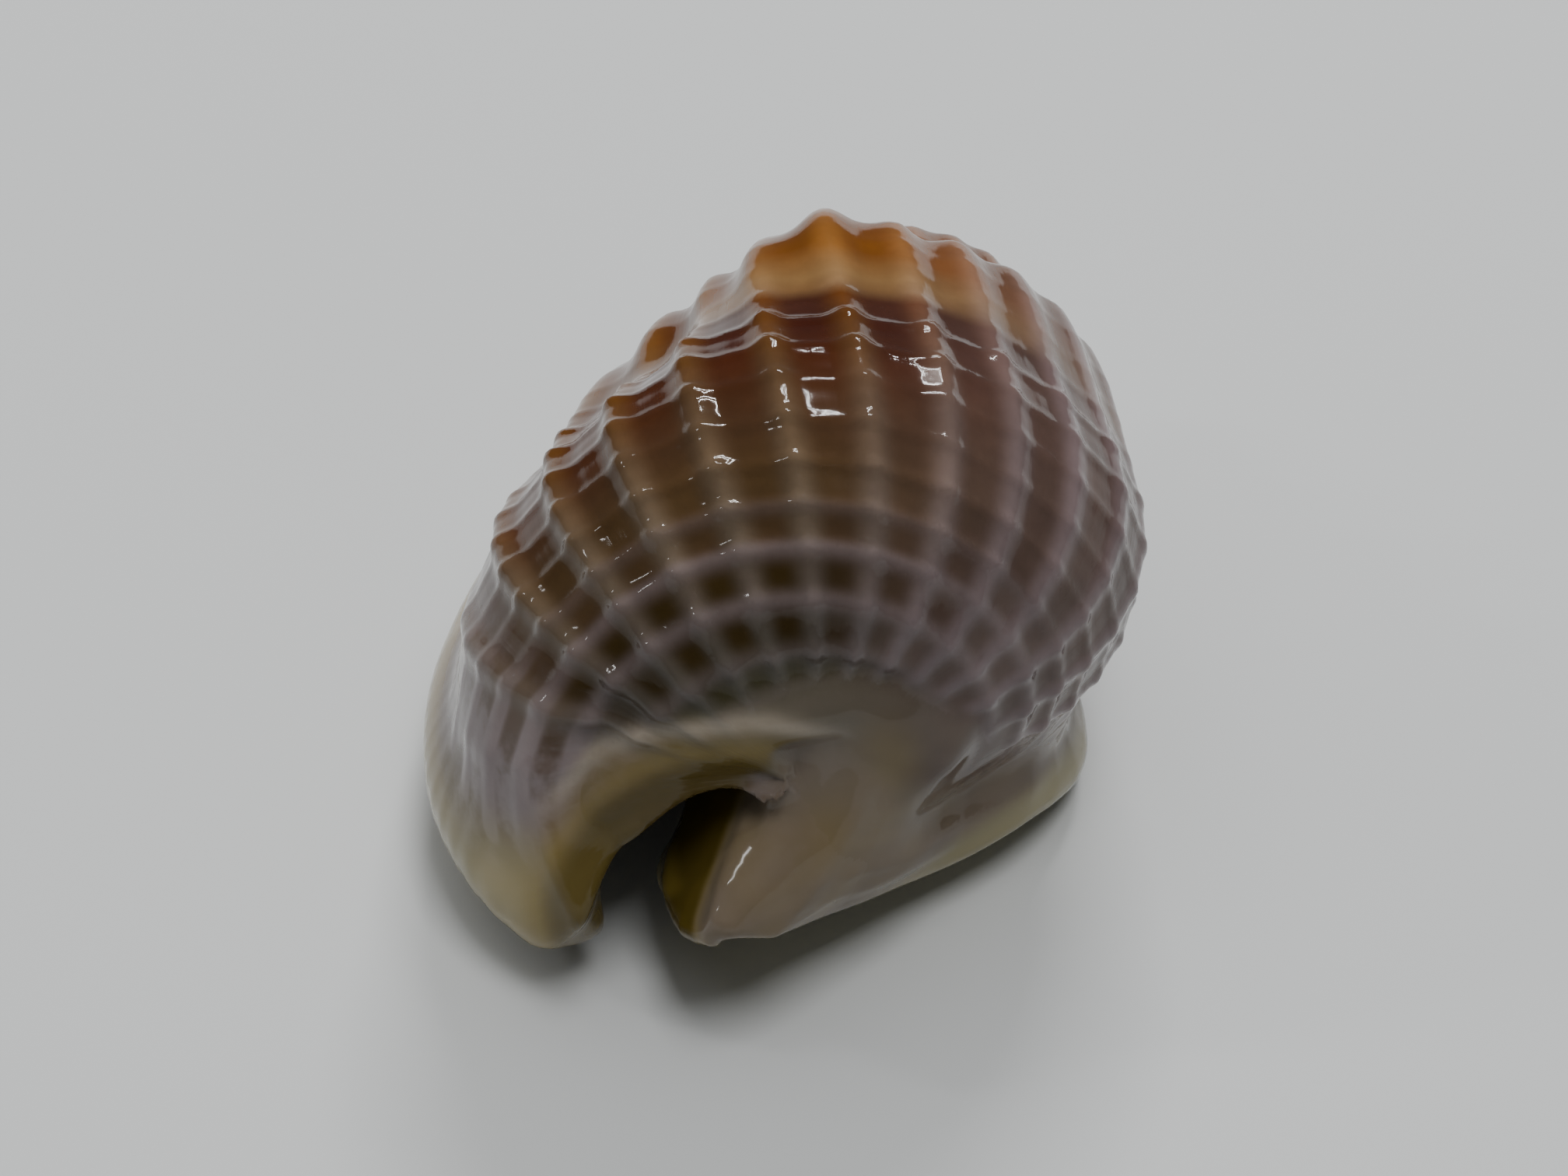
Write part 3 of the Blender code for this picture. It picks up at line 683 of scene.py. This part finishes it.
def add_node(tree, kind, settings=None, **links):
    """A node with its settings. A link is named for its input, or is an underscore and its number."""
    node = tree.nodes.new(kind)
    for name, value in (settings or {}).items():
        setattr(node, name, value)
    for name, value in links.items():
        number = name[1:]
        socket = node.inputs[int(number) if number.isdigit() else name.replace("_", " ")]
        if isinstance(value, bpy.types.Node):
            value = next(out for out in value.outputs if out.enabled)
        if isinstance(value, bpy.types.NodeSocket):
            tree.links.new(value, socket)
        else:
            socket.default_value = value
    return node


def hex_colour(code):
    """Linear colour of an sRGB hex value."""
    srgb = [int(code[k:k + 2], 16) / 255.0 for k in (1, 3, 5)]
    return tuple(c / 12.92 if c <= 0.04045 else ((c + 0.055) / 1.055) ** 2.4 for c in srgb) + (1.0,)


def wave(tree, coordinate, sharpness):
    """1 on each whole number of a coordinate and 0 between them, narrower as sharpness grows."""
    turned = add_node(tree, "ShaderNodeMath", {"operation": "MULTIPLY"}, _0=coordinate, _1=TURN)
    cosine = add_node(tree, "ShaderNodeMath", {"operation": "COSINE"}, _0=turned)
    lifted = add_node(tree, "ShaderNodeMath", {"operation": "MULTIPLY_ADD"}, _0=cosine, _1=0.5, _2=0.5)
    return add_node(tree, "ShaderNodeMath", {"operation": "POWER"}, _0=lifted, _1=sharpness)


# Heights in mm at the lip, and how narrow the ribs and cords are
SCULPTURE_SIZES = {"Rib Height": 0.15, "Cord Height": 0.08, "Bead Height": 0.08,
                   "Shoulder Rib Sharpness": 1.1, "Rib Sharpness": 2.8, "Cord Sharpness": 4.0,
                   "Base Cord Sharpness": 1.6}

# Each crest: what it runs along, its amount, and the places on the outline where it turns from
# the first sharpness to the second
CRESTS = [("rib", "ribbed", 0.18, 0.35, "Shoulder Rib Sharpness", "Rib Sharpness"),
          ("cord", "corded", 0.55, 0.7, "Cord Sharpness", "Base Cord Sharpness")]


def sculpture_tree(material):
    """Geometry Nodes that raise ribs, cords and beads on the plain form."""
    tree = bpy.data.node_groups.new("shell_sculpture", "GeometryNodeTree")
    tree.interface.new_socket("Geometry", in_out="INPUT", socket_type="NodeSocketGeometry")
    for name, value in SCULPTURE_SIZES.items():
        socket = tree.interface.new_socket(name, in_out="INPUT", socket_type="NodeSocketFloat")
        socket.default_value = value
    tree.interface.new_socket("Geometry", in_out="OUTPUT", socket_type="NodeSocketGeometry")
    given = add_node(tree, "NodeGroupInput")

    measure = {}
    for name in ("rib", "ribbed", "cord", "corded", "along", "size"):
        measure[name] = add_node(tree, "GeometryNodeInputNamedAttribute", {"data_type": "FLOAT"},
                                 Name=name)
    raised = {}
    for name, amount, start, stop, first, second in CRESTS:
        sharpness = add_node(tree, "ShaderNodeMapRange", {"interpolation_type": "SMOOTHSTEP"},
                             Value=measure["along"], From_Min=start, From_Max=stop,
                             To_Min=given.outputs[first], To_Max=given.outputs[second])
        raised[name] = add_node(tree, "ShaderNodeMath", {"operation": "MULTIPLY"},
                                _0=wave(tree, measure[name], sharpness), _1=measure[amount])
    raised["bead"] = add_node(tree, "ShaderNodeMath", {"operation": "MULTIPLY"},
                              _0=raised["rib"], _1=raised["cord"])
    height = 0.0
    for name, size in (("rib", "Rib Height"), ("cord", "Cord Height"), ("bead", "Bead Height")):
        height = add_node(tree, "ShaderNodeMath", {"operation": "MULTIPLY_ADD"},
                          _0=raised[name], _1=given.outputs[size], _2=height)
    for scale in (measure["size"], MM):
        height = add_node(tree, "ShaderNodeMath", {"operation": "MULTIPLY"}, _0=height, _1=scale)
    normal = add_node(tree, "GeometryNodeInputNormal")
    offset = add_node(tree, "ShaderNodeVectorMath", {"operation": "SCALE"}, _0=normal, Scale=height)
    shape = given.outputs["Geometry"]
    for kind, links in (("GeometryNodeSetPosition", {"Offset": offset}),
                        ("GeometryNodeSetShadeSmooth", {}),
                        ("GeometryNodeRealizeInstances", {}),
                        ("GeometryNodeSetMaterial", {"Material": material}),
                        ("NodeGroupOutput", {})):
        shape = add_node(tree, kind, Geometry=shape, **links)
    return tree


def carved_shell(material):
    """The shell with its ribs, cords and beads, as a plain mesh."""
    plain = smooth_shell()
    tree = sculpture_tree(material)
    carving = plain.modifiers.new("shell_sculpture", "NODES")
    carving.node_group = tree
    for item in tree.interface.items_tree:
        if item.in_out == "INPUT" and item.name in SCULPTURE_SIZES:
            carving[item.identifier] = SCULPTURE_SIZES[item.name]
    depsgraph = bpy.context.evaluated_depsgraph_get()
    mesh = bpy.data.meshes.new_from_object(plain.evaluated_get(depsgraph))
    bpy.data.objects.remove(plain, do_unlink=True)
    shell = bpy.data.objects.new("nassa_shell", mesh)
    bpy.context.scene.collection.objects.link(shell)
    return shell


# Colours along the outline, from the suture to the front: between the ribs, and on them
COLOUR_ZONES = {
    "ground": [(0.0, "#4f2a0c"), (0.08, "#683a0e"), (0.16, "#6e4012"), (0.225, "#80603a"),
               (0.252, "#6f5030"), (0.28, "#3e1e12"), (0.36, "#3a1609"), (0.44, "#42200e"),
               (0.55, "#45301f"), (0.62, "#46341f"), (0.69, "#443321"), (0.73, "#34270f"),
               (0.8, "#30240e"), (0.86, "#3a3624"), (0.91, "#474539"), (1.0, "#55503d")],
    "crests": [(0.0, "#74461a"), (0.08, "#80501f"), (0.17, "#845626"), (0.225, "#93714a"),
               (0.255, "#866747"), (0.285, "#5f3510"), (0.4, "#5b3b1c"), (0.5, "#56422f"),
               (0.58, "#614f3c"), (0.66, "#5f5243"), (0.74, "#554b42"), (0.8, "#4a443c"),
               (0.9, "#4b483e"), (1.0, "#5a5546")]}

# Clouds of colour: cells in a metre, detail and roughness. 900 and 350 give clouds about 1.1 mm
# and 2.9 mm across, as wide as the mottling of the whorl and the patches of the glaze.
CLOUDS = {"cloud": (900.0, 4.0, 0.6), "patch": (350.0, 2.0, 0.5)}

# Smooth steps: what each follows, where it starts and stops, and its values there. Angles behind
# the lip are in degrees, and places along the outline run from 0 to 1.
STEPS = {"rib sharpness": ("along", 0.55, 0.7, 2.2, 1.6),
         "cord sharpness": ("along", 0.55, 0.7, 3.0, 2.0),
         "rib shown": ("ribbed", 0.0, 0.4, 0.0, 1.0),
         "cord shown": ("corded", 0.0, 0.1, 0.0, 1.0),
         "not far round": ("from_lip", 112.0, 80.0, 0.0, 1.0),
         "upper half": ("along", 0.6, 0.4, 0.0, 1.0),
         "far round": ("from_lip", 125.0, 185.0, 0.0, 1.0),
         "all but the front": ("along", 0.93, 0.8, 0.0, 0.8),
         "not on the spire": ("from_lip", 340.0, 270.0, 0.35, 1.0),
         "on the base": ("along", 0.62, 0.7, 0.0, 1.0),
         "fading to the front": ("along", 0.9, 0.74, 0.15, 0.5),
         "near the lip": ("from_lip", 66.0, 34.0, 0.0, 1.0),
         "below the shoulder": ("along", 0.3, 0.62, 0.0, 1.0),
         "in a cloud": ("cloud", 0.4, 0.6, 0.0, 1.0),
         "mottling": ("cloud", 0.35, 0.7, 0.88, 1.12),
         "gloss": ("cloud", 0.3, 0.7, 0.06, 0.12),
         "greener cream": ("patch", 0.35, 0.65, 0.0, 1.0),
         "greyer glaze": ("patch", 0.3, 0.7, 0.0, 1.0),
         "clear of the front": ("front", 0.6, 0.0, 0.0, 1.0),
         # Painted shade: the olive glaze darkens deep in the notch
         "painted shade deep in the notch": ("notch", 0.6, 1.0, 0.0, 1.0)}

# Products of measures, steps and plain numbers. A later one may use an earlier one.
PRODUCTS = {"rib crest": ("rib wave", "rib shown"), "cord crest": ("cord wave", "cord shown"),
            "warm": ("not far round", "upper half", 0.75),
            "mauve": ("far round", "all but the front", "not on the spire"),
            # Paler arcs on the cords of the base: partly their own colour, partly a painted highlight
            # on their tops
            "pale cords and painted highlight": ("on the base", "fading to the front", "cord crest"),
            "last grown": ("near the lip", "below the shoulder"),
            "greyed crest": ("crest", 0.6), "glazed front": ("front", 0.9),
            "glazed roll": ("rolled", 0.9), "darker spots": ("spots", 0.6),
            # Partly painted shade: the wall above the opening darkens towards the opening
            "brown wall with painted shade": ("parietal", 0.85),
            # Olive round the notch, and a painted highlight along the ridge above it
            "olive": ("notch", "clear of the front", 0.9), "painted crest highlight": ("painted_highlight", 0.7),
            "ridged": ("on_whorl", 0.3), "across cords": ("rib", 6.0), "along cords": ("along", 3.0)}

# Two-tone colours: share of the second, then the first and the second
TONES = {"light brown": ("rib crest", "#4a2206", "#653e10"),
         "mauve grey": ("rib crest", "#564640", "#75676a"),
         "blue grey": ("dark lines", "#7d7272", "#584b43"),
         "grey glaze": ("greyer glaze", "#746440", "#6a6056"),
         "cream": ("greener cream", "#9b8f6b", "#88805e"),
         "spotted cream": ("darker spots", "cream", "#5c563c"),
         # The olive glaze round the notch, its darker tone deep in the notch being painted shade
         "olive glaze with notch shade": ("painted shade deep in the notch", "#766322", "#504216")}

# Colours in the shell: brown near the lip, mauve grey further round, paler cords on the base, partly
# their own colour and partly a painted highlight on their tops, and the last part to grow, a pale
# blue grey with darker lines between the cords
SHELL_COLOURS = [("warm", "light brown"), ("mauve", "mauve grey"), ("pale cords and painted highlight", "#746869"),
                 ("last grown", "blue grey")]

# The glaze over them: yellowish on the lip and the shield, greyer on the front, olive round the
# notch with painted shade deep in it, a painted highlight along the ridge over the notch, darker
# on the wall above the opening, partly brown and partly painted shade, and dark inside, partly
# the shell's own brown and partly painted shade that deepens behind the lip
GLAZES = [("greyed crest", "#625a50"), ("glazed front", "grey glaze"), ("glazed roll", "#a08c62"),
          ("callus or lip", "spotted cream"), ("brown wall with painted shade", "#453b22"), ("canal", "#7d6c34"),
          ("olive", "olive glaze with notch shade"), ("painted crest highlight", "#9a9082"), ("inside", "#3a1c12")]

# Polished shell: the values that do not change over the surface
POLISH = {"IOR": 1.5, "Specular IOR Level": 0.22, "Subsurface Weight": 0.06,
          "Subsurface Radius": (1.0, 0.7, 0.45), "Subsurface Scale": 0.4 * MM}


def shell_material():
    """Aragonite, laid down in layers and polished by wear: dense, hard and glassy.

    The colours lie in the outer layer, in bands that follow the growth. The callus is a later,
    clearer layer of cream, and the whole surface has a clear film that gives sharp small glints.
    """
    material = bpy.data.materials.new("polished_aragonite_shell")
    material.use_nodes = True
    tree = material.node_tree
    shader = tree.nodes["Principled BSDF"]
    place = add_node(tree, "ShaderNodeTexCoord").outputs["Object"]
    value = {}
    for name in ("rib", "cord", "along", "from_lip", "ribbed", "corded", "callus", "front", "canal",
                 "lip", "rolled", "crest", "painted_highlight", "notch", "inside", "parietal", "spots",
                 "on_whorl"):
        attribute = add_node(tree, "ShaderNodeAttribute", {"attribute_name": name})
        value[name] = attribute.outputs["Fac"]
    for name, (scale, detail, roughness) in CLOUDS.items():
        value[name] = add_node(tree, "ShaderNodeTexNoise", Vector=place, Scale=scale,
                               Detail=detail, Roughness=roughness).outputs[0]
    for name, (followed, start, stop, low, high) in STEPS.items():
        value[name] = add_node(tree, "ShaderNodeMapRange", {"interpolation_type": "SMOOTHSTEP"},
                               Value=value[followed], From_Min=start, From_Max=stop,
                               To_Min=low, To_Max=high).outputs[0]
    for name in ("rib", "cord"):
        value[name + " wave"] = wave(tree, value[name], value[name + " sharpness"])
    for name, (product, *factors) in PRODUCTS.items():
        product = value[product]
        for factor in factors:
            product = add_node(tree, "ShaderNodeMath", {"operation": "MULTIPLY"},
                               _0=product, _1=value.get(factor, factor))
        value[name] = product
    value["callus or lip"] = add_node(tree, "ShaderNodeMath", {"operation": "MAXIMUM"},
                                      _0=value["callus"], _1=value["lip"])
    between_cords = add_node(tree, "ShaderNodeMapRange", {"interpolation_type": "SMOOTHSTEP"},
                             Value=value["cord crest"], From_Min=0.5, From_Max=0.0)
    value["dark lines"] = add_node(tree, "ShaderNodeMath", {"operation": "MULTIPLY"},
                                   _0=between_cords, _1=value["in a cloud"])

    # A mix node's inputs: 0 is the share of the second colour, 6 and 7 are the colours
    colour = {}
    for name, (share, *codes) in TONES.items():
        first, second = [colour[code] if code in colour else hex_colour(code) for code in codes]
        colour[name] = add_node(tree, "ShaderNodeMix", {"data_type": "RGBA"},
                                _0=value[share], _6=first, _7=second).outputs[2]
    for name, stops in COLOUR_ZONES.items():
        zones = add_node(tree, "ShaderNodeValToRGB", _0=value["along"])
        ramp = zones.color_ramp
        while len(ramp.elements) < len(stops):
            ramp.elements.new(1.0)
        for element, (at, code) in zip(ramp.elements, stops):
            element.position, element.color = at, hex_colour(code)
        colour[name] = zones.outputs[0]
    surface = add_node(tree, "ShaderNodeMix", {"data_type": "RGBA"}, _0=value["rib crest"],
                       _6=colour["ground"], _7=colour["crests"]).outputs[2]
    for share, code in SHELL_COLOURS + [("mottling", None)] + GLAZES:
        if share == "mottling":
            surface = add_node(tree, "ShaderNodeMix", {"data_type": "RGBA", "blend_type": "MULTIPLY"},
                               _0=1.0, _6=surface, _7=value[share]).outputs[2]
        else:
            laid_on = colour[code] if code in colour else hex_colour(code)
            surface = add_node(tree, "ShaderNodeMix", {"data_type": "RGBA"}, _0=value[share],
                               _6=surface, _7=laid_on).outputs[2]

    # Growth lines: fine ridges across the cords, up to two hundredths of a millimetre high. The
    # noise runs six times in each rib, about 0.2 mm apart at the lip. Real ones lie closer, and
    # are drawn this coarse so that they show.
    lines = add_node(tree, "ShaderNodeCombineXYZ", _0=value["across cords"], _1=value["along cords"])
    growth_lines = add_node(tree, "ShaderNodeTexNoise", Vector=lines, Scale=1.0, Detail=3.0)
    bump = add_node(tree, "ShaderNodeBump", Strength=value["ridged"], Distance=0.02 * MM,
                    Height=growth_lines.outputs[0])
    tree.links.new(bump.outputs[0], shader.inputs["Normal"])
    tree.links.new(surface, shader.inputs["Base Color"])
    tree.links.new(value["gloss"], shader.inputs["Roughness"])
    for name, setting in POLISH.items():
        shader.inputs[name].default_value = setting
    return material


# Camera: the photograph's own place, looking at the shell through a longer lens. It aims at a
# point this far below the shell, and the shell's place in the photograph is in its pixels.
CAMERA_HEIGHT_ANGLE = math.radians(46.0)
CAMERA_AZIMUTH = math.radians(10.3)
CAMERA_DISTANCE = 70.0
PICTURE_WIDTH, PICTURE_HEIGHT = 2016, 1512
PHOTO_LENS = 42.5
SENSOR = 36.0
AIM_BELOW = 2.2
SHELL_IN_PHOTO = (1005.0, 690.0)
ENLARGED = 2.59


def photo_camera():
    """The camera where the photograph was taken from."""
    flat = CAMERA_DISTANCE * math.cos(CAMERA_HEIGHT_ANGLE)
    place = Vector((flat * math.sin(CAMERA_AZIMUTH), -flat * math.cos(CAMERA_AZIMUTH),
                    CAMERA_DISTANCE * math.sin(CAMERA_HEIGHT_ANGLE) - AIM_BELOW))
    aim = (Vector((0.0, 0.0, -AIM_BELOW)) - place).normalized()
    data = bpy.data.cameras.new("studio_camera")
    data.sensor_width = SENSOR
    data.lens = PHOTO_LENS * ENLARGED
    data.clip_start, data.clip_end = 1.0 * MM, 2.0
    data.shift_x = (SHELL_IN_PHOTO[0] - PICTURE_WIDTH / 2) * ENLARGED / PICTURE_WIDTH
    data.shift_y = -(SHELL_IN_PHOTO[1] - PICTURE_HEIGHT / 2) * ENLARGED / PICTURE_WIDTH
    camera = bpy.data.objects.new("studio_camera", data)
    camera.location = (place - Vector(CENTRE)) * MM
    camera.rotation_euler = aim.to_track_quat("-Z", "Y").to_euler()
    bpy.context.scene.collection.objects.link(camera)
    bpy.context.scene.camera = camera


FLOOR_HALF = 0.6
FLOOR_COLOUR = "#cdcfcf"
FLOOR_ROUGHNESS = 0.8
AIR_COLOUR = "#e8ecef"
AIR_STRENGTH = 0.14

# Lights: place and size in metres, power in watts, and whether the shell mirrors it
LIGHTS = {"lamp_strip": ((0.0, 0.105, 0.125), (0.06, 0.0015), 0.08, True),
          "second_lamp_strip": ((0.0, 0.12, 0.115), (0.06, 0.0015), 0.08, True),
          "side_window": ((-0.12, -0.01, 0.10), (0.006, 0.03), 0.02, True),
          "soft_box": ((-0.05, 0.02, 0.32), (0.36, 0.36), 0.36, False),
          "fill_light": ((0.04, -0.05, 0.20), (0.06, 0.08), 0.22, False)}


def studio():
    """Pale floor and soft light."""
    mesh = bpy.data.meshes.new("studio_floor")
    corners = [(x * FLOOR_HALF, y * FLOOR_HALF, 0) for x, y in ((-1, -1), (1, -1), (1, 1), (-1, 1))]
    mesh.from_pydata(corners, [], [(0, 1, 2, 3)])
    floor = bpy.data.objects.new("studio_floor", mesh)
    bpy.context.scene.collection.objects.link(floor)
    material = bpy.data.materials.new("pale_matt_floor")
    material.use_nodes = True
    shader = material.node_tree.nodes["Principled BSDF"]
    shader.inputs["Base Color"].default_value = hex_colour(FLOOR_COLOUR)
    shader.inputs["Roughness"].default_value = FLOOR_ROUGHNESS
    mesh.materials.append(material)
    world = bpy.data.worlds.new("studio_air")
    world.use_nodes = True
    air = world.node_tree.nodes["Background"]
    air.inputs["Color"].default_value = hex_colour(AIR_COLOUR)
    air.inputs["Strength"].default_value = AIR_STRENGTH
    bpy.context.scene.world = world
    for name, (place, size, power, mirrored) in LIGHTS.items():
        data = bpy.data.lights.new(name, "AREA")
        data.shape = "RECTANGLE"
        data.size, data.size_y = size
        data.energy = power
        light = bpy.data.objects.new(name, data)
        light.location = place
        light.rotation_euler = (-Vector(place)).to_track_quat("-Z", "Y").to_euler()
        light.visible_glossy = mirrored
        bpy.context.scene.collection.objects.link(light)


photo_camera()
studio()
shell = carved_shell(shell_material())
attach(shell, "root")
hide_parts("shell")
